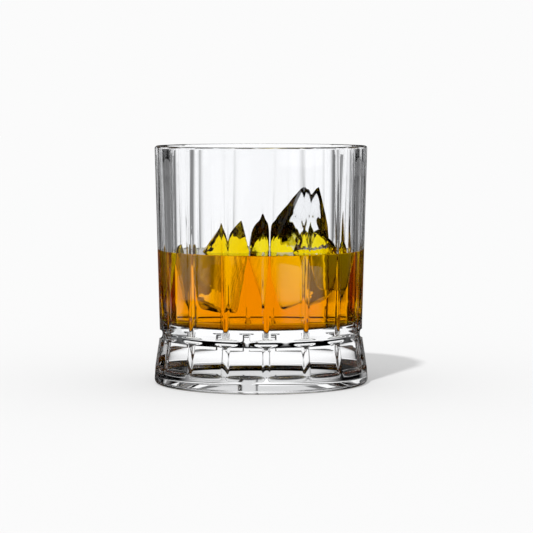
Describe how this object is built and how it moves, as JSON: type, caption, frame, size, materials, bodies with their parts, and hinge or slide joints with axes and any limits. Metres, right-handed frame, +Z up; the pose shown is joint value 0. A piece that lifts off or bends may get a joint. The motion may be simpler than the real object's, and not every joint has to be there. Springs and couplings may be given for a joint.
{
  "type": "whiskey tumbler",
  "caption": "Heavy-based pressed-glass tumbler with flat panels, narrow ribs and a flared panelled base, holding whiskey and lumps of cracked ice that lift out.",
  "frame": {"origin": "centre of the foot, on the surface that the glass stands on", "axes": "+Z up along the glass's axis, front is -Y, the tallest lump of ice is on the +X side"},
  "size_m": [0.083, 0.083, 0.092],
  "materials": {
    "clear_glass": "polished",
    "whiskey": "polished",
    "ice": "polished"
  },
  "bodies": {
    "glass_and_whiskey": {"tumbler": "clear_glass", "whiskey": "whiskey"},
    "main_peak": {"ice_main_peak": "ice"},
    "left_peak": {"ice_left_peak": "ice"},
    "front_block": {"ice_front_block": "ice"},
    "right_shard": {"ice_right_shard": "ice"},
    "left_chip": {"ice_left_chip": "ice"}
  },
  "joints": [
    {"name": "lift_main_peak", "type": "slide", "parent": "glass_and_whiskey", "child": "main_peak", "axis": [0, 0, 1], "range_m": [0, 0.07]},
    {"name": "lift_left_peak", "type": "slide", "parent": "glass_and_whiskey", "child": "left_peak", "axis": [0, 0, 1], "range_m": [0, 0.071]},
    {"name": "lift_front_block", "type": "slide", "parent": "glass_and_whiskey", "child": "front_block", "axis": [0, 0, 1], "range_m": [0, 0.061]},
    {"name": "lift_right_shard", "type": "slide", "parent": "glass_and_whiskey", "child": "right_shard", "axis": [0, 0, 1], "range_m": [0, 0.063]},
    {"name": "lift_left_chip", "type": "slide", "parent": "glass_and_whiskey", "child": "left_chip", "axis": [0, 0, 1], "range_m": [0, 0.067]}
  ]
}
